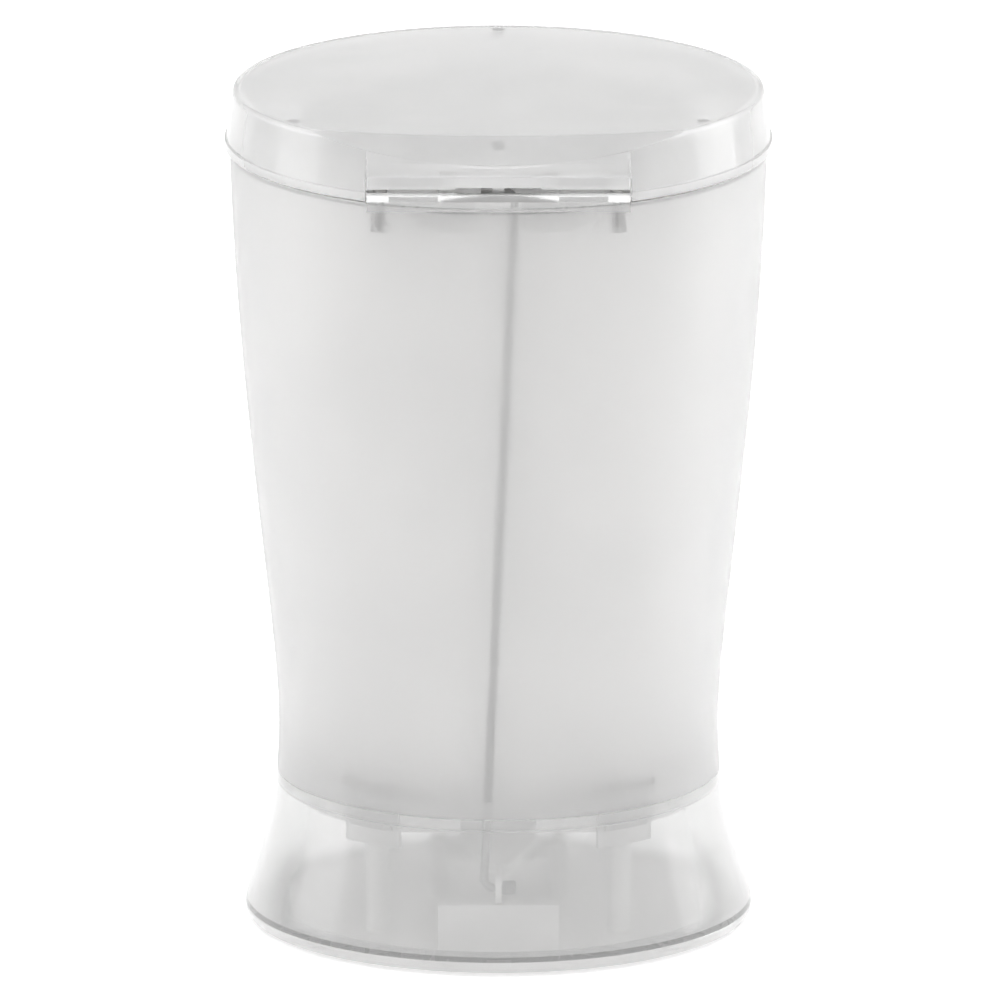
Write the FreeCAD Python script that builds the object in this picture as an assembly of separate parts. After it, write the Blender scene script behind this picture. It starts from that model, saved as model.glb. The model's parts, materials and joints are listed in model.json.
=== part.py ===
"""Pedal bin: round flared body, separate foot, hinged lid, push rod, pedal lever and inner bucket.

Millimetres.  +Z is up and z = 0 is the floor.  The origin is the centre of the foot ring.
The pedal faces -Y and the lid is hinged at +Y.
"""
import FreeCAD, Part
import math
import os

V = FreeCAD.Vector
ORIGIN = V(0, 0, 0)
UP = V(0, 0, 1)
ACROSS = V(1, 0, 0)

# Overall sizes
total_height = 341.0
body_radius = 107.3          # outside of the body, just under the lid

# Body
body_wall = 2.0
flare_depth = 19.4           # how much narrower the waist is than the top
waist_z = 80.0
waist_pull = 0.17            # share of the waist-to-top height that leaves the waist upright
top_pull = 0.468             # share of the same height that leads into the top
top_lean = 0.03              # radius per height of the wall just under the lid
neck_inset = 5.8             # step from the body's outside in to the neck
neck_height = 20.4
seam_z = 61.5
seam_flare = 0.7             # the seam is this much wider than the waist
seam_gap = 0.1

# Foot skirt
skirt_wall = 2.4
foot_flare = 13.5            # the foot is this much wider than the waist
foot_bulge_z = 6.6           # height of the foot's widest ring
foot_tuck = 3.4              # the rounded bottom edge turns in by this much
foot_clearance = 1.0         # skirt edge above the floor
ledge_z = 5.5
ledge_thick = 2.1
ledge_width = 11.0
spigot_height = 6.5
spigot_wall = 2.0
spigot_clearance = 0.2

# Snap tabs that hold the body on the foot skirt
tab_thick = 1.8
tab_gap = 0.2
tab_reach = 15.5             # below the seam
tab_nose = 1.7
tab_start = 28.0             # degrees from the rear or the front
tab_sweep = 18.0

# Lid
lid_wall = 2.2
lid_height = 24.2
lip_gap = 0.9                # lip above the body's shoulder
lip_overhang = 2.0
lip_height = 3.8
lip_proud = 0.7
lid_taper = 2.7
lid_edge_round = 2.0
lip_round = 0.7
facet_run = 21.4             # length of the sloping rear part of the top
facet_drop = 6.5
facet_circle = 265.0         # radius of the curved line where the slope starts

# Hinge shroud, moulded on the lid
shroud_half_width = 52.5
shroud_wall = 1.6
shroud_out = 5.2             # beyond the body's outside
shroud_edge_drop = 10.1      # its rear top edge, below the lid's top
shroud_face = 5.1            # height of its upright rear face
crease_inset = 1.1           # its roof's crease, in from the body's outside
shroud_round = 0.8
window_half_width = 17.0
window_rise = 0.6

# Lid hinge
hinge_in = 4.4               # axis in front of the shroud's rear face
hinge_rise = 2.2             # axis above the shroud's lower edge
knuckle_radius = 2.5
pin_radius = 1.25
running_gap = 0.05
lid_knuckle_width = 5.9
knuckle_gap = 0.5
pin_end_gap = 0.3
lid_open_deg = 75.0

# Hinge bracket on the body
bracket_side_gap = 0.2
bracket_out = 0.8            # beyond the shroud's rear face
bracket_plate = 3.4
swing_gap = 0.25             # to the shroud's wall as it swings past
web_setback = 1.9            # knuckle webs stand in front of the hinge axis
apron_drop = 11.0
apron_inset = 12.5           # its top corners, from the shroud's ends
apron_taper = 10.0
apron_thick = 1.9
apron_gap = 0.3
rod_slot_half = 9.5
bracket_screw_inset = 5.5    # from the shroud's ends
boss_radius = 3.5
boss_depth = 12.0

# Push rod: one bent steel wire
wire_radius = 1.6
wire_bend = 4.0
crank_in = 14.1              # upper eye in front of the hinge axis
crank_drop = 7.4             # upper eye below the hinge axis
rod_top_x = -6.6
rod_top_end = 7.0
rod_low_x = 5.8
rod_low_end = -5.6
rod_low_z = 31.0
rod_wall_gap = 5.3           # lower eye to the inside of the spigot
lid_ear_half = 2.4
eye_wall = 2.4
cap_radius = 2.9
cap_span = (-6.8, -1.6)

# Pedal lever
lever_pivot_y = -15.0
lever_pivot_z = 24.0
lever_plate = 3.0
lever_plate_z = 28.0
web_half = 1.2
hub_radius = 5.0
hub_half = 19.5
axle_radius = 2.0
axle_half = 27.0
slot_travel = 3.3            # free travel of the wire either way along the lever's slot
slot_lift = 1.0              # free travel up and down
ear_wall = 3.0
neck_half = 11.0
pedal_gap = 3.1              # pedal plate to the foot's widest ring
pedal_length = 24.5
pedal_half_width = 21.0
pedal_corner = 9.0
tread_thick = 3.4
tread_rim = 1.4
rib_pitch = 4.4
rib_height = 0.9
skirt_slot_half = 14.5
skirt_slot_top = 37.0

# Axle bearings
saddle_inner = 20.2
saddle_width = 7.0
saddle_half_depth = 11.5
bearing_top = 5.6
bearing_screw_offset = 7.6

# Base plate and foot ring
plate_z = 3.0
plate_gap = 1.1
ring_inset = 13.4            # from the foot's widest ring
ring_width = 8.0
ring_recess = 0.6
stop_half = 24.0             # half width of the rest under the lever's rear ear
stop_depth = 7.0
stop_gap = 0.6               # from the rest up to the ear
skirt_screw_inset = 10.4     # from the foot's widest ring
skirt_screw_angles = (20.0, 160.0, 200.0, 340.0)

# Inner floor
floor_thick = 2.2
floor_flange = 9.2
floor_gap = 0.5              # to the snap tabs
chord_inset = 12.2           # its straight rear edge, in front of the spigot
notch_half = 15.0
leg_radius = 4.5
leg_inset = 13.5             # from the inner floor's edge
leg_angles = (45.0, 135.0, 225.0, 315.0)

# Inner bucket
bucket_wall = 1.8
bucket_chord_gap = 1.8       # its foot to the inner floor's straight edge
bucket_eye_gap = 1.7         # its rim to the lid's ear as it swings past
bucket_rim = 3.5
bucket_rim_height = 3.0
bucket_below_top = 16.0
bucket_grip_half = 26.0
bucket_grip_depth = 7.0

# Fasteners and bumpers
screw_radius = 1.5
screw_head_radius = 2.8
screw_head = 1.7
screw_hole_gap = 0.2
screw_bite = 12.0
bumper_radius = 2.6
bumper_angles = {"front": -90.0, "left": 35.0, "right": 145.0}

# Worked out from the sizes above
lip_z = total_height - lid_height
shoulder_z = lip_z - lip_gap
waist_radius = body_radius - flare_depth
seam_radius = waist_radius + seam_flare
foot_radius = waist_radius + foot_flare
neck_radius = body_radius - neck_inset
rim_z = shoulder_z + neck_height
lip_radius = body_radius + lip_overhang
lid_inner_top = total_height - lid_wall
facet_y = lip_radius - lip_proud - lid_taper - facet_run
facet_slope = facet_drop / facet_run
facet_centre_y = facet_y - facet_circle
shroud_back = body_radius + shroud_out
shroud_edge_z = total_height - shroud_edge_drop
shroud_low_z = shroud_edge_z - shroud_face
hinge_y = shroud_back - hinge_in
hinge_z = shroud_low_z + hinge_rise
bracket_back = shroud_back + bracket_out
bracket_half_width = shroud_half_width - bracket_side_gap
bracket_screw_x = shroud_half_width - bracket_screw_inset
hollow_half = shroud_half_width - shroud_wall
outer_knuckle = hollow_half - lid_knuckle_width - 0.9
inner_knuckle = window_half_width + 0.6
lid_knuckles = ((inner_knuckle, inner_knuckle + lid_knuckle_width),
                (outer_knuckle, hollow_half + shroud_wall / 4))
bracket_knuckle = (lid_knuckles[0][1] + knuckle_gap, outer_knuckle - knuckle_gap)
pin_span = (window_half_width + pin_end_gap, hollow_half - 0.7)
bracket_top = hinge_z - hinge_in * math.tan(math.radians(lid_open_deg / 2)) - swing_gap
eye_y = hinge_y - crank_in
eye_z = hinge_z - crank_drop
spigot_outer = waist_radius - body_wall - spigot_clearance + 0.3
spigot_inner = spigot_outer - spigot_wall
rod_low_y = spigot_inner - rod_wall_gap
tab_outer = spigot_inner - tab_gap
tab_inner = tab_outer - tab_thick
floor_radius = tab_inner - floor_gap
floor_z = seam_z - floor_thick
chord_y = spigot_inner - chord_inset
plate_radius = foot_radius - skirt_wall - plate_gap
pedal_back = foot_radius + pedal_gap
ring_outer = foot_radius - ring_inset
ring_inner = ring_outer - ring_width
leg_circle = floor_radius - leg_inset
eye_radius = wire_radius + eye_wall
lever_ear_height = wire_radius + slot_lift + ear_wall
stop_top = rod_low_z - lever_ear_height - stop_gap
bucket_top_z = total_height - bucket_below_top
bucket_foot_radius = chord_y - bucket_chord_gap
bucket_lip_radius = hinge_y - math.hypot(crank_in, crank_drop) - eye_radius - bucket_eye_gap
bucket_top_radius = bucket_lip_radius - bucket_rim


def bezier(*points):
    """Bezier edge through control points given as (radius, height)."""
    curve = Part.BezierCurve()
    curve.setPoles([V(r, 0, z) for r, z in points])
    return curve.toShape()


def line(a, b):
    """Straight edge between two (radius, height) points."""
    return Part.makeLine(V(a[0], 0, a[1]), V(b[0], 0, b[1]))


def outline(points):
    """Closed outline through (radius, height, rounding) corners."""
    edges = []
    ends = []
    count = len(points)
    for i, (r, z, rounding) in enumerate(points):
        corner = V(r, 0, z)
        back = V(points[i - 1][0], 0, points[i - 1][1]) - corner
        ahead = V(points[(i + 1) % count][0], 0, points[(i + 1) % count][1]) - corner
        if rounding:
            a = corner + back.normalize() * rounding
            b = corner + ahead.normalize() * rounding
            curve = Part.BezierCurve()
            curve.setPoles([a, corner, b])
            edges.append(curve.toShape())
            ends.append((a, b))
        else:
            ends.append((corner, corner))
    for i, (a, b) in enumerate(ends):
        edges.append(Part.makeLine(b, ends[(i + 1) % count][0]))
    return edges


def spun(edges):
    """Solid of revolution of a closed outline about the Z axis."""
    outline = Part.Wire(Part.__sortEdges__(edges))
    return Part.Face(outline).revolve(ORIGIN, UP, 360)


def spun_outline(points):
    """Solid of revolution of (radius, height, rounding) corners."""
    return spun(outline(points))


def sector(r0, r1, z0, z1, start, sweep):
    """Part of a ring, from the angle start over sweep degrees about Z."""
    corners = [V(r0, 0, z0), V(r1, 0, z0), V(r1, 0, z1), V(r0, 0, z1), V(r0, 0, z0)]
    piece = Part.Face(Part.makePolygon(corners)).revolve(ORIGIN, UP, sweep)
    piece.rotate(ORIGIN, UP, start)
    return piece


def tube(r0, r1, z0, z1):
    """Upright ring."""
    height = z1 - z0
    return disc(r1, z0, z1).cut(Part.makeCylinder(r0, height + 2, V(0, 0, z0 - 1)))


def disc(radius, z0, z1, x=0.0, y=0.0):
    """Upright cylinder."""
    return Part.makeCylinder(radius, z1 - z0, V(x, y, z0))


def box(x0, x1, y0, y1, z0, z1):
    """Box between two corners."""
    return Part.makeBox(x1 - x0, y1 - y0, z1 - z0, V(x0, y0, z0))


def bar(radius, x0, x1, y, z):
    """Cylinder along X."""
    return Part.makeCylinder(radius, x1 - x0, V(x0, y, z), ACROSS)


def prism_x(points, x0, x1):
    """Polygon of (y, z) points extruded along X."""
    corners = [V(x0, y, z) for y, z in points]
    return Part.Face(Part.makePolygon(corners + corners[:1])).extrude(V(x1 - x0, 0, 0))


def prism_y(points, y0, y1):
    """Polygon of (x, z) points extruded along Y."""
    corners = [V(x, y0, z) for x, z in points]
    return Part.Face(Part.makePolygon(corners + corners[:1])).extrude(V(0, y1 - y0, 0))


def prism_z(points, z0, z1):
    """Polygon of (x, y) points extruded along Z."""
    corners = [V(x, y, z0) for x, y in points]
    return Part.Face(Part.makePolygon(corners + corners[:1])).extrude(V(0, 0, z1 - z0))


def joined(first, *others):
    """Union with its seams cleaned up."""
    return first.fuse(list(others)).removeSplitter()


def polar(radius, degrees):
    """Point on a circle about Z, as (x, y)."""
    angle = math.radians(degrees)
    return radius * math.cos(angle), radius * math.sin(angle)


def both_sides(solid):
    """A solid with its mirror image across the YZ plane."""
    return [solid, solid.mirror(ORIGIN, ACROSS)]


def export(name, shape):
    """Write one sub-part."""
    shape.exportStep(os.path.join("parts", name + ".step"))


def body_curves(inset):
    """Outline of the body from its shoulder to the seam, moved in by inset."""
    rise = shoulder_z - waist_z
    r_top = body_radius - inset
    r_waist = waist_radius - inset
    r_seam = seam_radius - inset
    top_pull_z = top_pull * rise
    flare = bezier(
        (r_waist, waist_z),
        (r_waist, waist_z + waist_pull * rise),
        (r_top - top_lean * top_pull_z, shoulder_z - top_pull_z),
        (r_top, shoulder_z),
    )
    tuck = bezier((r_seam, seam_z), (r_waist, (seam_z + 2 * waist_z) / 3), (r_waist, waist_z))
    return [flare, tuck]


def skirt_curve(inset):
    """Outline of the foot skirt from the seam to its widest ring, moved in by inset."""
    drop = seam_z - seam_gap - foot_bulge_z
    return bezier(
        (seam_radius - inset, seam_z - seam_gap),
        (seam_radius + 0.11 * foot_flare - inset, seam_z - 0.37 * drop),
        (foot_radius - 0.06 * foot_flare - inset, foot_bulge_z + 0.13 * drop),
        (foot_radius - inset, foot_bulge_z),
    )


def snap_starts():
    """Start angles of the four snap tabs, two each side of the rear and of the front."""
    starts = []
    for middle in (90.0, -90.0):
        starts += [middle + tab_start, middle - tab_start - tab_sweep]
    return starts


def bracket_screw_places():
    """Places of the two screws through the hinge bracket into the body's shoulder."""
    circle = (neck_radius + body_radius) / 2 - 2.0
    y = math.sqrt(circle**2 - bracket_screw_x**2)
    return [(bracket_screw_x, y), (-bracket_screw_x, y)]


def upper_body():
    """Frosted upper shell with its neck, shoulder, screw bosses and snap tabs."""
    r_low = seam_radius
    outer = body_curves(0.0)
    neck = [
        line((body_radius, shoulder_z), (neck_radius, shoulder_z)),
        line((neck_radius, shoulder_z), (neck_radius, rim_z)),
        line((neck_radius, rim_z), (0, rim_z)),
        line((0, rim_z), (0, seam_z)),
        line((0, seam_z), (r_low, seam_z)),
    ]
    full = spun(outer + neck)
    inner_shoulder = shoulder_z - body_wall
    hollow_body = spun(
        body_curves(body_wall)
        + [
            line((body_radius - body_wall, shoulder_z), (0, shoulder_z)),
            line((0, shoulder_z), (0, seam_z)),
            line((0, seam_z), (r_low - body_wall, seam_z)),
        ]
    ).cut(disc(body_radius, inner_shoulder, shoulder_z + 1))
    hollow_neck = disc(neck_radius - body_wall, inner_shoulder - 1, rim_z + 1)
    hollow_foot = disc(r_low - body_wall, seam_z - 1, seam_z + 0.01)
    shell = full.cut([hollow_body, hollow_neck, hollow_foot])
    hinge_gap = shroud_half_width + 1.0
    shell = shell.cut(box(-hinge_gap, hinge_gap, 0, body_radius + 9, shoulder_z, rim_z + 1))
    bosses = [disc(boss_radius, shoulder_z - boss_depth, shoulder_z, x, y)
              for x, y in bracket_screw_places()]
    tabs = []
    spigot_top = seam_z + spigot_height
    for start in snap_starts():
        low = seam_z - tab_reach
        tabs.append(sector(tab_inner, tab_outer, low, spigot_top + 4, start, tab_sweep))
        reach = waist_radius - body_wall / 2
        tabs.append(sector(tab_inner, reach, spigot_top + 1, spigot_top + 4, start, tab_sweep))
        nose_top = seam_z - 5.7
        corners = [(tab_outer - 0.5, nose_top), (tab_outer + tab_nose, nose_top),
                   (tab_outer + tab_nose, nose_top - 0.8), (tab_outer - 0.5, nose_top - 4.0)]
        points = [V(r, 0, z) for r, z in corners]
        nose = Part.Face(Part.makePolygon(points + points[:1]))
        nose = nose.revolve(ORIGIN, UP, tab_sweep - 4)
        nose.rotate(ORIGIN, UP, start + 2)
        tabs.append(nose)
    shell = joined(shell, *bosses, *tabs)
    pilots = [disc(screw_radius, shoulder_z - screw_bite + 1, shoulder_z + 1, x, y)
              for x, y in bracket_screw_places()]
    return shell.cut(pilots)


def skirt_screw_places():
    """Places of the screws that hold the base plate to the foot skirt."""
    return [polar(foot_radius - skirt_screw_inset, a) for a in skirt_screw_angles]


def base_skirt():
    """Flared foot with its spigot, ledge, screw bosses and pedal slot."""
    r_edge = foot_radius - foot_tuck
    tuck = bezier((foot_radius, foot_bulge_z), (foot_radius, foot_clearance),
                  (r_edge, foot_clearance))
    top = seam_z - seam_gap
    full = spun([
        skirt_curve(0.0),
        tuck,
        line((r_edge, foot_clearance), (0, foot_clearance)),
        line((0, foot_clearance), (0, top)),
        line((0, top), (seam_radius, top)),
    ])
    r_in = foot_radius - skirt_wall
    hollow = spun([
        skirt_curve(skirt_wall),
        line((r_in, foot_bulge_z), (r_edge - 0.6, foot_clearance)),
        line((r_edge - 0.6, foot_clearance), (0, foot_clearance)),
        line((0, foot_clearance), (0, top)),
        line((0, top), (seam_radius - skirt_wall, top)),
    ])
    wall = full.cut(hollow)
    ledge = tube(foot_radius - ledge_width, foot_radius, ledge_z, ledge_z + ledge_thick)
    ledge = ledge.common(full)
    spigot = tube(spigot_inner, spigot_outer, seam_z - 5.5, seam_z + spigot_height)
    collar = tube(spigot_inner, seam_radius - 0.6, seam_z - 5.5, seam_z - 1.0)
    bosses = [disc(boss_radius, ledge_z, ledge_z + screw_bite + 1, x, y)
              for x, y in skirt_screw_places()]
    skirt = joined(wall, ledge, spigot, collar, *[b.common(full) for b in bosses])
    slot = box(-skirt_slot_half, skirt_slot_half, -foot_radius - 5, -foot_radius + 16,
               ledge_z + ledge_thick, skirt_slot_top)
    pilots = [disc(screw_radius, ledge_z - 1, ledge_z + screw_bite, x, y)
              for x, y in skirt_screw_places()]
    return skirt.cut([slot] + pilots)


def facet_z(x, y):
    """Height of the lid's sloping rear facet, a shallow cone."""
    return total_height - (math.hypot(x, y - facet_centre_y) - facet_circle) * facet_slope


def above_facet(drop):
    """Everything above the lid's rear facet when it is lowered by drop."""
    near = facet_circle - 40
    far = facet_circle + 80
    low = total_height - drop * math.sqrt(1 + facet_slope**2)
    cone = spun_outline([
        (near, low + 40 * facet_slope, 0),
        (far, low - 80 * facet_slope, 0),
        (far, total_height + 60, 0),
        (near, total_height + 60, 0),
    ])
    cone.translate(V(0, facet_centre_y, 0))
    return cone.common(box(-2 * body_radius, 2 * body_radius, 0, far, 0, total_height + 50))


def shroud_section(x, inset, front, low):
    """Side outline of the hinge shroud at x; its roof leaves the facet at the crease."""
    reach = body_radius - crease_inset - facet_centre_y
    crease = facet_centre_y + math.sqrt(reach**2 - x**2)
    back = shroud_back - inset
    return [
        (front, low),
        (back, low),
        (back, shroud_edge_z - inset * 0.6),
        (crease - inset * 0.4, facet_z(x, crease) - inset),
        (front, facet_z(x, front) - inset - 0.3),
    ]


def shroud_block(front):
    """Outside of the hinge shroud, with round rear edges."""
    wires = []
    for x in (-shroud_half_width, 0.0, shroud_half_width):
        section = shroud_section(x, 0.0, front, shroud_low_z)
        corners = [V(x, y, z) for y, z in section]
        wires.append(Part.makePolygon(corners + corners[:1]))
    block = Part.makeLoft(wires, True, False)
    rear = [e for e in block.Edges if e.BoundBox.YMax > shroud_back - 0.01
            and e.BoundBox.ZMax > shroud_low_z + 1]
    return block.makeFillet(shroud_round, rear)


def lid_shell():
    """Lid: flat top with a sloping rear facet, tapered skirt, hinge shroud and rod ear."""
    r_top = lip_radius - lip_proud - lid_taper
    r_skirt = lip_radius - lip_proud
    lip_top = lip_z + lip_height
    outer = spun_outline([
        (0, total_height, 0),
        (r_top, total_height, lid_edge_round),
        (r_skirt, lip_top, lip_round),
        (lip_radius, lip_top, lip_round / 2),
        (lip_radius, lip_z, lip_round),
        (0, lip_z, 0),
    ]).cut(above_facet(0.0))
    inner = spun_outline([
        (0, lid_inner_top, 0),
        (r_top - lid_wall, lid_inner_top, lid_edge_round),
        (r_skirt - lid_wall, lip_top, 0),
        (r_skirt - lid_wall, lip_z - 1, 0),
        (0, lip_z - 1, 0),
    ]).cut(above_facet(lid_wall))
    front_in = facet_y + 1.5
    shroud = shroud_block(front_in)
    hollow_section = shroud_section(shroud_half_width, shroud_wall, front_in, lip_z - 4)
    shroud_hollow = prism_x(hollow_section, -hollow_half, hollow_half)
    opening = box(-shroud_half_width - 0.4, shroud_half_width + 0.4, front_in, shroud_back + 5,
                  lip_z - 5, shroud_low_z)
    window = box(-window_half_width, window_half_width, hinge_y + 2, shroud_back + 5,
                 shroud_low_z - 1, shroud_low_z + window_rise)
    lid = outer.fuse(shroud).cut([inner, shroud_hollow, opening, window])
    knuckles = []
    for x0, x1 in lid_knuckles:
        knuckles.append(bar(knuckle_radius, x0, x1, hinge_y, hinge_z))
        knuckles.append(box(x0, x1, hinge_y - 1.5, hinge_y + 1.5, hinge_z,
                            shroud_edge_z + 0.9))
    pieces = []
    for piece in knuckles:
        pieces += both_sides(piece)
    ear_back = eye_y + 6.0
    ear_front = eye_y - 8.0
    ear = prism_x([
        (eye_y - eye_radius, eye_z),
        (eye_y + eye_radius, eye_z),
        (ear_back, facet_z(0, ear_back) - lid_wall / 2),
        (ear_front, facet_z(0, ear_front) - lid_wall / 2),
    ], -lid_ear_half, lid_ear_half)
    eye = bar(eye_radius, -lid_ear_half, lid_ear_half, eye_y, eye_z)
    lid = joined(lid, ear, eye, *pieces)
    holes = both_sides(bar(pin_radius + running_gap, pin_span[0] - 1, pin_span[1] + 0.4,
                           hinge_y, hinge_z))
    holes.append(bar(wire_radius + running_gap, -lid_ear_half - 1, lid_ear_half + 1,
                     eye_y, eye_z))
    return lid.cut(holes)


def hinge_bracket():
    """Bracket on the body's rear rim that carries the hinge pins."""
    top = shoulder_z + bracket_plate
    profile = [
        (0.0, shoulder_z),
        (bracket_back, shoulder_z),
        (bracket_back, bracket_top),
        (hinge_y, bracket_top),
        (hinge_y - 4.0, top),
        (0.0, top),
    ]
    block = prism_x(profile, -bracket_half_width, bracket_half_width)
    inner_radius = neck_radius - body_wall - apron_gap
    apron_inner = inner_radius - apron_thick
    block = block.cut(disc(apron_inner, shoulder_z - 1, bracket_top + 1))
    wide = bracket_half_width + 1
    below = box(-wide, wide, 0, bracket_back + 1, shoulder_z - 1, lip_z)
    block = block.cut(below.cut(disc(body_radius + 0.2, shoulder_z - 2, lip_z + 1)))
    reach = math.hypot(hinge_in, hinge_rise) + swing_gap
    block = block.cut(bar(reach, -wide, wide, hinge_y, hinge_z))
    centre = box(-window_half_width, window_half_width, hinge_y - 4.5, bracket_back + 1,
                 bracket_top - 0.3, bracket_top + 9)
    block = block.cut(centre)
    apron = tube(apron_inner, inner_radius, shoulder_z - apron_drop, shoulder_z + 1)
    apron_half = shroud_half_width - apron_inset
    outline = [
        (-apron_half, shoulder_z + 1),
        (apron_half, shoulder_z + 1),
        (apron_half - apron_taper, shoulder_z - apron_drop),
        (apron_taper - apron_half, shoulder_z - apron_drop),
    ]
    apron = apron.common(prism_y(outline, 0, body_radius))
    x0, x1 = bracket_knuckle
    knuckle = bar(knuckle_radius, x0, x1, hinge_y, hinge_z)
    web = box(x0, x1, hinge_y - web_setback - 2.2, hinge_y - web_setback, shoulder_z + 2, hinge_z)
    bracket = joined(block, apron, *both_sides(knuckle), *both_sides(web))
    slot = box(-rod_slot_half, rod_slot_half, 0, hinge_y - 4.0,
               shoulder_z - apron_drop - 1, hinge_z)
    holes = [disc(screw_radius + screw_hole_gap, shoulder_z - 1, top + 1, x, y)
             for x, y in bracket_screw_places()]
    holes += both_sides(bar(pin_radius, x0 - 1, x1 + 1, hinge_y, hinge_z))
    return bracket.cut([slot] + holes)


def screw(x, y, seat_z, bite, up):
    """Pan-head screw with a cross recess; its head sits at seat_z and is above it if up is 1."""
    head = Part.makeCylinder(screw_head_radius, screw_head, V(x, y, seat_z), UP * up)
    edges = [e for e in head.Edges if e.Curve.TypeId == "Part::GeomCircle"
             and abs(e.Curve.Center.z - seat_z - up * screw_head) < 1e-6]
    head = head.makeFillet(0.6, edges)
    shank = Part.makeCylinder(screw_radius, bite, V(x, y, seat_z), UP * -up)
    solid = head.fuse(shank).removeSplitter()
    top = seat_z + up * screw_head
    recess = [box(x - 1.5, x + 1.5, y - 0.35, y + 0.35, top - 0.8, top + 0.8),
              box(x - 0.35, x + 0.35, y - 1.5, y + 1.5, top - 0.8, top + 0.8)]
    return solid.cut(recess)


def hinge_pin(side):
    """Steel pin through the lid's and the bracket's knuckles on one side."""
    x0, x1 = sorted((side * pin_span[0], side * pin_span[1]))
    pin = bar(pin_radius, x0, x1, hinge_y, hinge_z)
    return pin.makeChamfer(0.3, [e for e in pin.Edges if e.Curve.TypeId == "Part::GeomCircle"])


def bent_path(points, radius):
    """Wire through points with round corners."""
    edges = []
    start = points[0]
    for before, corner, after in zip(points, points[1:], points[2:]):
        into = (corner - before).normalize()
        away = (after - corner).normalize()
        turn = into.getAngle(away)
        setback = radius * math.tan(turn / 2)
        a = corner - into * setback
        b = corner + away * setback
        to_centre = (away - into).normalize()
        centre = corner + to_centre * (radius / math.cos(turn / 2))
        edges.append(Part.makeLine(start, a))
        edges.append(Part.Arc(a, centre - to_centre * radius, b).toShape())
        start = b
    edges.append(Part.makeLine(start, points[-1]))
    return Part.Wire(edges)


def push_rod():
    """Bent wire from the lid's ear down to the lever's slot."""
    path = bent_path([
        V(rod_top_end, eye_y, eye_z),
        V(rod_top_x, eye_y, eye_z),
        V(rod_low_x, rod_low_y, rod_low_z),
        V(rod_low_end, rod_low_y, rod_low_z),
    ], wire_bend)
    section = Part.Wire(Part.makeCircle(wire_radius, V(rod_top_end, eye_y, eye_z), ACROSS))
    return path.makePipeShell([section], True, True)


def rod_cap():
    """Push-on cap that keeps the wire in the lever's slot."""
    x0, x1 = cap_span
    cap = bar(cap_radius, x0, x1, rod_low_y, rod_low_z)
    outer = [e for e in cap.Edges if e.Curve.TypeId == "Part::GeomCircle"
             and abs(e.Curve.Center.x - x0) < 1e-6]
    cap = cap.makeFillet(0.8, outer)
    return cap.cut(bar(wire_radius, rod_low_end, x1 + 1, rod_low_y, rod_low_z))


def rounded_plate(half_width, y0, y1, corner, z0, z1):
    """Rectangular plate with four round corners."""
    plate = box(-half_width, half_width, y0, y1, z0, z1)
    upright = [e for e in plate.Edges if abs(e.tangentAt(0).z) > 0.9]
    return plate.makeFillet(corner, upright)


def pedal_lever():
    """Moulded lever: pedal plate, tapering arm on a web, hub and slotted rear ear."""
    low = lever_plate_z
    high = lever_plate_z + lever_plate
    front = -pedal_back - pedal_length
    pedal = rounded_plate(pedal_half_width, front, -pedal_back, pedal_corner, low, high)
    hub_y = lever_pivot_y
    arm = prism_z([
        (-neck_half, -pedal_back - 6),
        (neck_half, -pedal_back - 6),
        (neck_half, -pedal_back + 12),
        (neck_half + 5, hub_y - 10),
        (neck_half + 5, hub_y + 10),
        (4.0, hub_y + 58),
        (-4.0, hub_y + 58),
        (-neck_half - 5, hub_y + 10),
        (-neck_half - 5, hub_y - 10),
        (-neck_half, -pedal_back + 12),
    ], low, high)
    hub = bar(hub_radius, -hub_half, hub_half, hub_y, lever_pivot_z)
    web = prism_x([
        (-pedal_back + 8, high - 0.5),
        (-pedal_back + 8, low - 2.5),
        (hub_y - 25, lever_pivot_z - 8.5),
        (hub_y + 12, lever_pivot_z - 8.5),
        (rod_low_y - slot_travel, rod_low_z - lever_ear_height),
        (rod_low_y - slot_travel, rod_low_z + lever_ear_height),
        (hub_y + 45, high + 1.0),
        (hub_y + 38, high - 0.5),
    ], -web_half, web_half)
    ear = joined(
        bar(lever_ear_height, -web_half, web_half, rod_low_y - slot_travel + slot_lift, rod_low_z),
        bar(lever_ear_height, -web_half, web_half, rod_low_y + slot_travel - slot_lift, rod_low_z),
        box(-web_half, web_half, rod_low_y - slot_travel + slot_lift,
            rod_low_y + slot_travel - slot_lift, rod_low_z - lever_ear_height, rod_low_z + lever_ear_height),
    )
    ribs = []
    for x in (-neck_half + 1.2, neck_half - 1.2):
        ribs.append(box(x - 1.2, x + 1.2, -pedal_back + 13, hub_y, low - 4, low + 1))
    lever = joined(pedal, arm, hub, web, ear, *ribs)
    slot_radius = wire_radius + slot_lift
    bore = bar(axle_radius + running_gap, -hub_half - 1, hub_half + 1, hub_y, lever_pivot_z)
    slot = joined(
        bar(slot_radius, -5, 5, rod_low_y - slot_travel + slot_lift, rod_low_z),
        bar(slot_radius, -5, 5, rod_low_y + slot_travel - slot_lift, rod_low_z),
        box(-5, 5, rod_low_y - slot_travel + slot_lift, rod_low_y + slot_travel - slot_lift,
            rod_low_z - slot_radius, rod_low_z + slot_radius),
    )
    return lever.cut([bore, slot])


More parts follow.
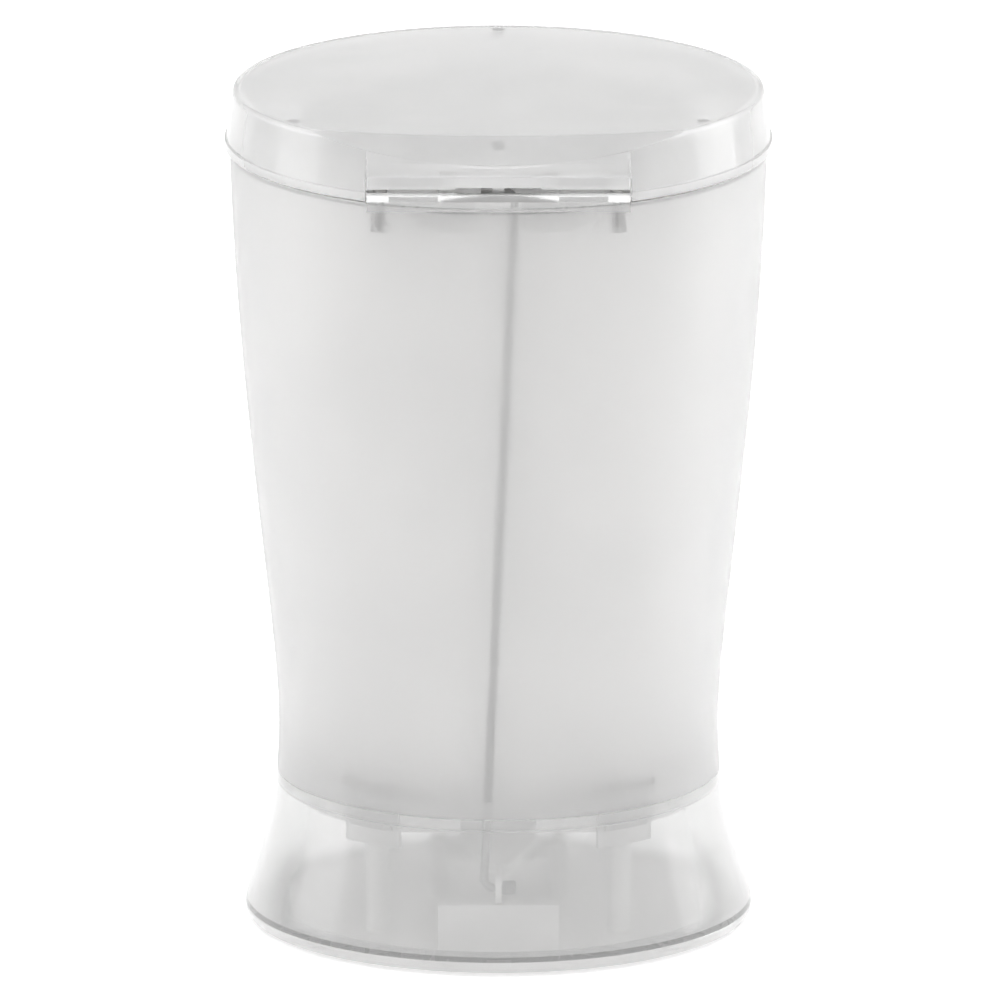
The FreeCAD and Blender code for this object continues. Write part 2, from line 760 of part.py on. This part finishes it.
def pedal_tread():
    """Ribbed soft pad that wraps the pedal plate's top and edge."""
    low = lever_plate_z
    high = lever_plate_z + lever_plate
    front = -pedal_back - pedal_length
    pad = rounded_plate(pedal_half_width + tread_rim, front - tread_rim, -pedal_back + 0.4,
                        pedal_corner + tread_rim, low + 0.6, high + tread_thick)
    top = [e for e in pad.Edges if e.BoundBox.ZMin > high + tread_thick - 1e-6]
    pad = pad.makeFillet(1.2, top)
    core = rounded_plate(pedal_half_width, front, -pedal_back, pedal_corner, low - 1, high)
    neck = box(-neck_half, neck_half, -pedal_back - 6, -pedal_back + 2, low - 1, high)
    pad = pad.cut([core, neck])
    ribs = []
    count = int((pedal_length - 2 * rib_pitch) / rib_pitch) + 1
    middle = front + pedal_length / 2
    for i in range(count):
        y = middle + (i - (count - 1) / 2) * rib_pitch
        half = pedal_half_width - 5.0
        rib = bar(rib_height + 0.3, -half, half, y, high + tread_thick - 0.3)
        ribs.append(rib)
    return joined(pad, *ribs).cut(core)


def lever_axle():
    """Steel axle of the pedal lever."""
    axle = bar(axle_radius, -axle_half, axle_half, lever_pivot_y, lever_pivot_z)
    ends = [e for e in axle.Edges if e.Curve.TypeId == "Part::GeomCircle"]
    return axle.makeChamfer(0.4, ends)


def bearing_screw_places():
    """Places of the screws that hold the two axle caps."""
    x = saddle_inner + saddle_width / 2
    y = bearing_screw_offset
    return [(s * x, lever_pivot_y + t * y) for s in (-1, 1) for t in (-1, 1)]


def axle_cap(side):
    """Cap over one end of the axle."""
    x0, x1 = sorted((side * saddle_inner, side * (saddle_inner + saddle_width)))
    y0 = lever_pivot_y - saddle_half_depth
    y1 = lever_pivot_y + saddle_half_depth
    z1 = lever_pivot_z + bearing_top
    cap = box(x0, x1, y0, y1, lever_pivot_z, z1)
    edges = [e for e in cap.Edges if e.BoundBox.ZMin > z1 - 1e-6 and abs(e.tangentAt(0).x) > 0.9]
    cap = cap.makeFillet(2.0, edges)
    cuts = [bar(axle_radius, -axle_half - 1, axle_half + 1, lever_pivot_y, lever_pivot_z)]
    cuts += [disc(screw_radius + screw_hole_gap, lever_pivot_z - 1, z1 + 1, x, y)
             for x, y in bearing_screw_places()]
    return cap.cut(cuts)


def base_plate():
    """Bottom cover with the axle saddles, a rest for the lever and a groove for the foot ring."""
    plate = disc(plate_radius, plate_z, ledge_z)
    y0 = lever_pivot_y - saddle_half_depth
    y1 = lever_pivot_y + saddle_half_depth
    saddle = box(saddle_inner, saddle_inner + saddle_width, y0, y1, plate_z + 1, lever_pivot_z)
    gusset = prism_x([(y0 - 7, plate_z + 1), (y1 + 7, plate_z + 1), (y1, lever_pivot_z - 8),
                      (y0, lever_pivot_z - 8)], saddle_inner + 2, saddle_inner + 5)
    rest = box(-stop_half, stop_half, rod_low_y - stop_depth / 2, rod_low_y + stop_depth / 2,
               plate_z + 1, stop_top)
    plate = joined(plate, rest, *both_sides(saddle), *both_sides(gusset))
    cuts = [tube(ring_inner, ring_outer, plate_z - 1, plate_z + ring_recess),
            bar(axle_radius, -axle_half - 1, axle_half + 1, lever_pivot_y, lever_pivot_z)]
    cuts += [disc(screw_radius, lever_pivot_z - screw_bite, lever_pivot_z + 1, x, y)
             for x, y in bearing_screw_places()]
    hole = screw_radius + screw_hole_gap
    cuts += [disc(hole, plate_z - 1, ledge_z + 1, x, y)
             for x, y in skirt_screw_places() + leg_places()]
    return plate.cut(cuts)


def foot_ring():
    """Soft non-slip ring that the bin stands on."""
    top = plate_z + ring_recess
    return spun_outline([
        (ring_inner, top, 0),
        (ring_inner, 0.0, 0.8),
        (ring_outer, 0.0, 0.8),
        (ring_outer, top, 0),
    ])


def leg_places():
    """Places of the inner floor's four legs."""
    return [polar(leg_circle, a) for a in leg_angles]


def inner_floor():
    """Platform under the bucket, with a straight rear edge that leaves room for the rod."""
    low = seam_z - floor_flange
    body = disc(floor_radius, low, seam_z)
    hollow = disc(floor_radius - 2.0, low - 1, floor_z)
    hollow = hollow.cut(box(-100, 100, chord_y - 2.0, chord_y + 60, low - 2, floor_z + 1))
    behind = box(-100, 100, chord_y, chord_y + 60, low - 2, seam_z + 1)
    notch = box(-notch_half, notch_half, chord_y - 8, chord_y + 5, low - 1, floor_z)
    floor = body.cut([hollow, behind, notch])
    legs = [disc(leg_radius, ledge_z, floor_z + 0.5, x, y) for x, y in leg_places()]
    floor = joined(floor, *legs)
    pilots = [disc(screw_radius, ledge_z - 1, ledge_z + screw_bite, x, y)
              for x, y in leg_places()]
    return floor.cut(pilots)


def inner_bucket():
    """Removable liner with a rolled rim and two finger grips."""
    low = seam_z
    r0 = bucket_foot_radius
    r1 = bucket_top_radius
    top = bucket_top_z
    lip = bucket_lip_radius
    rim_low = top - bucket_rim_height
    shell = spun_outline([
        (0, low, 0),
        (r0, low, 3.0),
        (r1, top - bucket_wall, 1.0),
        (lip, top - bucket_wall, 0),
        (lip, top, 1.0),
        (r1 - bucket_wall, top, 1.0),
        (r0 - bucket_wall, low + bucket_wall, 3.0),
        (0, low + bucket_wall, 0),
    ])
    curl = tube(lip - 1.2, lip, rim_low - 1.5, top - 0.2)
    shell = joined(shell, curl)
    grip = box(r1 / 2, lip + 1, -bucket_grip_half, bucket_grip_half,
               top - bucket_grip_depth, top + 1)
    return shell.cut(both_sides(grip))


def lid_bumper(degrees):
    """Soft button on the lid's underside that lands on the body's rim."""
    x, y = polar(neck_radius - body_wall, degrees)
    return disc(bumper_radius, rim_z + 0.1, lid_inner_top, x, y)


def main():
    os.makedirs("parts", exist_ok=True)
    plate_seat = shoulder_z + bracket_plate
    cap_seat = lever_pivot_z + bearing_top
    export("upper_body", upper_body())
    export("base_skirt", base_skirt())
    export("lid_shell", lid_shell())
    export("hinge_bracket", hinge_bracket())
    export("bracket_screws", Part.makeCompound(
        [screw(x, y, plate_seat, bracket_plate + screw_bite - 2, 1)
         for x, y in bracket_screw_places()]))
    export("hinge_pin_left", hinge_pin(1))
    export("hinge_pin_right", hinge_pin(-1))
    export("push_rod", push_rod())
    export("rod_cap", rod_cap())
    export("pedal_lever", pedal_lever())
    export("pedal_tread", pedal_tread())
    export("lever_axle", lever_axle())
    export("axle_cap_left", axle_cap(1))
    export("axle_cap_right", axle_cap(-1))
    export("axle_cap_screws", Part.makeCompound(
        [screw(x, y, cap_seat, bearing_top + screw_bite - 1, 1)
         for x, y in bearing_screw_places()]))
    export("base_plate", base_plate())
    export("skirt_screws", Part.makeCompound(
        [screw(x, y, plate_z, screw_bite, -1) for x, y in skirt_screw_places()]))
    export("floor_screws", Part.makeCompound(
        [screw(x, y, plate_z, screw_bite, -1) for x, y in leg_places()]))
    export("foot_ring", foot_ring())
    export("inner_floor", inner_floor())
    export("inner_bucket", inner_bucket())
    for name, degrees in bumper_angles.items():
        export("lid_bumper_" + name, lid_bumper(degrees))


main()
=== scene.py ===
"""Looks of the pedal bin: materials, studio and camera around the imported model. Lengths in metres."""
import json
import math

import bpy
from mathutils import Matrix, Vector

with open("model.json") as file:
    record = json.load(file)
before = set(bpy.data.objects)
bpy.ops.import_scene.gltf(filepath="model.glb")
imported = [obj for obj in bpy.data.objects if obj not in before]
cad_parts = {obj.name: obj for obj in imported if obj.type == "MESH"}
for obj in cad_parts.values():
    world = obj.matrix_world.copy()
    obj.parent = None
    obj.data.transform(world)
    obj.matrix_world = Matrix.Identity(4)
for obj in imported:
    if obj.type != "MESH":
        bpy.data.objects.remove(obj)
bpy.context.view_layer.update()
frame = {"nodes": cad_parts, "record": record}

NODES = frame["nodes"]

# Camera: the rear view, from a little above, through a long lens
VIEW_ELEVATION = math.radians(14.15)
VIEW_DISTANCE = 15.0
FRAME_WIDTH = 0.400          # what the picture is wide at the object's axis
SENSOR = 36.0                # millimetres
AIM = Vector((-0.0006, 0.0, 0.1707))

# Soft boxes: name, turn in degrees from the camera towards -X, height, width, tallness, watts
BOX_DISTANCE = 1.5
BOX_AIM = (0, 0, 0.17)
SOFT_BOXES = (
    ("box_left", -92, 0.70, 0.8, 1.3, 5.0),
    ("box_right", 104, 0.70, 0.8, 1.3, 7.0),
    ("box_camera", 5, 1.80, 1.2, 0.9, 5.0),
)

# Box over the lid, a little to the rear
TOP_PLACE = (0, 0.3, 2.0)
TOP_AIM = (0, 0, 0.3)
TOP_WIDTH = 0.45
TOP_LENGTH = 0.35
TOP_POWER = 6.5

WORLD_STRENGTH = 0.92

# Floor: half its width, how far it lies under the foot ring, its grey and its glow
FLOOR_HALF = 6.0
FLOOR_DROP = 0.0002
FLOOR_LEVEL = 0.96
FLOOR_GLOW = 0.35

PLASTIC_IOR = 1.45
BLOTCH_DARKENING = 0.94      # darkest blotch of solid plastic, as a share of its grey
PATCH_DARKENING = 0.72       # darkest patch of steel, as a share of its grey


# ---------------------------------------------------------------- node helpers
def new_material(name):
    """Empty node material with a Principled shader; returns it with its tree and shader."""
    material = bpy.data.materials.new(name)
    material.use_nodes = True
    tree = material.node_tree
    shader = tree.nodes["Principled BSDF"]
    return material, tree, shader


def coordinates(tree, scale=(1, 1, 1)):
    """Object coordinates, stretched by scale."""
    source = tree.nodes.new("ShaderNodeTexCoord")
    mapping = tree.nodes.new("ShaderNodeMapping")
    mapping.inputs["Scale"].default_value = scale
    tree.links.new(source.outputs["Object"], mapping.inputs["Vector"])
    return mapping.outputs["Vector"]


def noise(tree, vector, size, detail=3.0, roughness=0.5):
    """Noise whose features are about size across."""
    node = tree.nodes.new("ShaderNodeTexNoise")
    node.inputs["Scale"].default_value = 1.0 / size
    node.inputs["Detail"].default_value = detail
    node.inputs["Roughness"].default_value = roughness
    tree.links.new(vector, node.inputs["Vector"])
    return node.outputs["Fac"]


def spread(tree, value, low, high, start=0.3, end=0.7):
    """Maps value from start..end to low..high."""
    node = tree.nodes.new("ShaderNodeMapRange")
    node.inputs["From Min"].default_value = start
    node.inputs["From Max"].default_value = end
    node.inputs["To Min"].default_value = low
    node.inputs["To Max"].default_value = high
    tree.links.new(value, node.inputs["Value"])
    return node.outputs["Result"]


def tint(tree, value, dark, light, start=0.3, end=0.7):
    """Colour from dark to light as value goes from start to end."""
    node = tree.nodes.new("ShaderNodeValToRGB")
    node.color_ramp.elements[0].position = start
    node.color_ramp.elements[0].color = (*dark, 1)
    node.color_ramp.elements[1].position = end
    node.color_ramp.elements[1].color = (*light, 1)
    tree.links.new(value, node.inputs["Fac"])
    return node.outputs["Color"]


def bumped(tree, shader, height, depth, strength):
    """Bump of that depth."""
    node = tree.nodes.new("ShaderNodeBump")
    node.inputs["Strength"].default_value = strength
    node.inputs["Distance"].default_value = depth
    tree.links.new(height, node.inputs["Height"])
    tree.links.new(node.outputs["Normal"], shader.inputs["Normal"])


def grey(level, warmth=0.0):
    """Near-neutral colour; a positive warmth is warmer."""
    return (level * (1 + warmth), level, level * (1 - warmth))


# ---------------------------------------------------------------- materials
def frosted_plastic():
    """Matt translucent polypropylene of the body: fine mould grain, faint flow clouds."""
    material, tree, shader = new_material("frosted_shell")
    place = coordinates(tree)
    clouds = noise(tree, place, size=0.045, detail=2.0)
    grain = noise(tree, place, size=0.003, detail=3.0, roughness=0.6)
    tree.links.new(tint(tree, clouds, grey(0.92, 0.002), grey(0.96, 0.003)),
                   shader.inputs["Base Color"])
    tree.links.new(spread(tree, noise(tree, place, size=0.012), low=0.36, high=0.40),
                   shader.inputs["Roughness"])
    bumped(tree, shader, grain, depth=0.00003, strength=0.4)
    shader.inputs["Transmission Weight"].default_value = 0.80
    shader.inputs["IOR"].default_value = PLASTIC_IOR
    return material


def clear_plastic(name, level, clear, roughness):
    """Glossy translucent polypropylene: slight ripple from the mould, faint clouds."""
    material, tree, shader = new_material(name)
    place = coordinates(tree)
    clouds = noise(tree, place, size=0.03, detail=3.0)
    ripple = noise(tree, place, size=0.018, detail=1.0)
    tree.links.new(tint(tree, clouds, grey(level, 0.001), grey(level + 0.05, 0.002)),
                   shader.inputs["Base Color"])
    tree.links.new(spread(tree, noise(tree, place, size=0.006), roughness, roughness + 0.05),
                   shader.inputs["Roughness"])
    bumped(tree, shader, ripple, depth=0.0004, strength=0.25)
    shader.inputs["Transmission Weight"].default_value = clear
    shader.inputs["IOR"].default_value = PLASTIC_IOR
    return material


def satin_plastic(name, level, grain_size, roughness, depth, warmth=0.006):
    """Solid moulded plastic with mould grain and slight blotches."""
    material, tree, shader = new_material(name)
    place = coordinates(tree)
    blotch = noise(tree, place, size=0.02, detail=3.0)
    tree.links.new(tint(tree, blotch, grey(level * BLOTCH_DARKENING, warmth), grey(level, warmth)),
                   shader.inputs["Base Color"])
    tree.links.new(spread(tree, noise(tree, place, size=0.004), roughness, roughness + 0.12),
                   shader.inputs["Roughness"])
    bumped(tree, shader, noise(tree, place, grain_size, detail=2.0), depth, strength=0.6)
    return material


def drawn_steel(name, level, stretch, roughness):
    """Steel with draw lines along the piece and darker, duller patches."""
    material, tree, shader = new_material(name)
    lines = noise(tree, coordinates(tree, stretch), size=0.0005, detail=2.0)
    patches = noise(tree, coordinates(tree), size=0.006, detail=4.0, roughness=0.6)
    tree.links.new(tint(tree, patches, grey(level * PATCH_DARKENING, 0.02), grey(level, 0.01)),
                   shader.inputs["Base Color"])
    tree.links.new(spread(tree, lines, roughness, roughness + 0.18), shader.inputs["Roughness"])
    bumped(tree, shader, lines, depth=0.00004, strength=0.5)
    shader.inputs["Metallic"].default_value = 1.0
    return material


def stage_material(name, level):
    """Plain pale floor."""
    material, tree, shader = new_material(name)
    place = coordinates(tree)
    tree.links.new(tint(tree, noise(tree, place, size=0.4, detail=2.0), grey(level), grey(level + 0.01)),
                   shader.inputs["Base Color"])
    shader.inputs["Roughness"].default_value = 0.9
    shader.inputs["Specular IOR Level"].default_value = 0.0
    shader.inputs["Emission Color"].default_value = (1, 1, 1, 1)
    shader.inputs["Emission Strength"].default_value = FLOOR_GLOW
    return material


def dress(materials):
    """Gives each CAD node the finish of its slot."""
    for part in frame["record"]["subparts"]:
        thing = NODES[part["node"]]
        thing.data.materials.clear()
        thing.data.materials.append(materials[part["material_slot"]])


# ---------------------------------------------------------------- studio
def soft_box(name, place, aim, width, height, power):
    """Area light at place, turned to aim."""
    light = bpy.data.lights.new(name, "AREA")
    light.shape = "RECTANGLE"
    light.size = width
    light.size_y = height
    light.energy = power
    thing = bpy.data.objects.new(name, light)
    thing.location = place
    thing.rotation_euler = (Vector(aim) - Vector(place)).to_track_quat("-Z", "Y").to_euler()
    bpy.context.scene.collection.objects.link(thing)


def floor():
    """Large pale floor, a hair under the foot ring."""
    mesh = bpy.data.meshes.new("studio_floor")
    half, z = FLOOR_HALF, -FLOOR_DROP
    mesh.from_pydata([(-half, -half, z), (half, -half, z), (half, half, z), (-half, half, z)],
                     [], [(0, 1, 2, 3)])
    thing = bpy.data.objects.new("studio_floor", mesh)
    bpy.context.scene.collection.objects.link(thing)
    mesh.materials.append(stage_material("studio_floor", FLOOR_LEVEL))


def studio():
    """Even white surroundings with soft boxes at the sides, over the camera and over the lid."""
    scene = bpy.context.scene
    world = bpy.data.worlds.new("studio")
    scene.world = world
    world.use_nodes = True
    background = world.node_tree.nodes["Background"]
    background.inputs["Color"].default_value = (1.0, 1.0, 1.0, 1)
    background.inputs["Strength"].default_value = WORLD_STRENGTH
    for name, turn, height, width, tall, power in SOFT_BOXES:
        angle = math.radians(turn)
        place = (-BOX_DISTANCE * math.sin(angle), BOX_DISTANCE * math.cos(angle), height)
        soft_box(name, place, BOX_AIM, width, tall, power)
    soft_box("box_top", TOP_PLACE, TOP_AIM, TOP_WIDTH, TOP_LENGTH, TOP_POWER)
    scene.view_settings.view_transform = "Standard"


def camera():
    """Long lens at the rear, so that the view is nearly parallel."""
    data = bpy.data.cameras.new("camera")
    data.sensor_width = SENSOR
    data.lens = SENSOR * VIEW_DISTANCE / FRAME_WIDTH
    data.clip_end = 2 * VIEW_DISTANCE
    thing = bpy.data.objects.new("camera", data)
    away = Vector((0, math.cos(VIEW_ELEVATION), math.sin(VIEW_ELEVATION)))
    thing.location = AIM + away * VIEW_DISTANCE
    thing.rotation_euler = (-away).to_track_quat("-Z", "Y").to_euler()
    bpy.context.scene.collection.objects.link(thing)
    bpy.context.scene.camera = thing


def main():
    """Finishes for the pieces, then floor, lights and camera."""
    materials = {
        "frosted_shell": frosted_plastic(),
        "clear_foot": clear_plastic("clear_foot", level=0.91, clear=0.74, roughness=0.13),
        "clear_lid": clear_plastic("clear_lid", level=0.94, clear=0.70, roughness=0.12),
        "white_plastic": satin_plastic("white_plastic", level=0.90, grain_size=0.0008,
                                       roughness=0.40, depth=0.00004),
        "rod_steel": drawn_steel("rod_steel", level=0.24, stretch=(1, 1, 0.05), roughness=0.30),
        "screw_steel": drawn_steel("screw_steel", level=0.62, stretch=(1, 1, 1), roughness=0.30),
        "grey_plastic": satin_plastic("grey_plastic", level=0.10, grain_size=0.0006,
                                      roughness=0.45, depth=0.00004, warmth=0.0),
        "soft_rubber": satin_plastic("soft_rubber", level=0.72, grain_size=0.0005,
                                     roughness=0.65, depth=0.00006, warmth=0.0),
    }
    dress(materials)
    floor()
    studio()
    camera()


main()
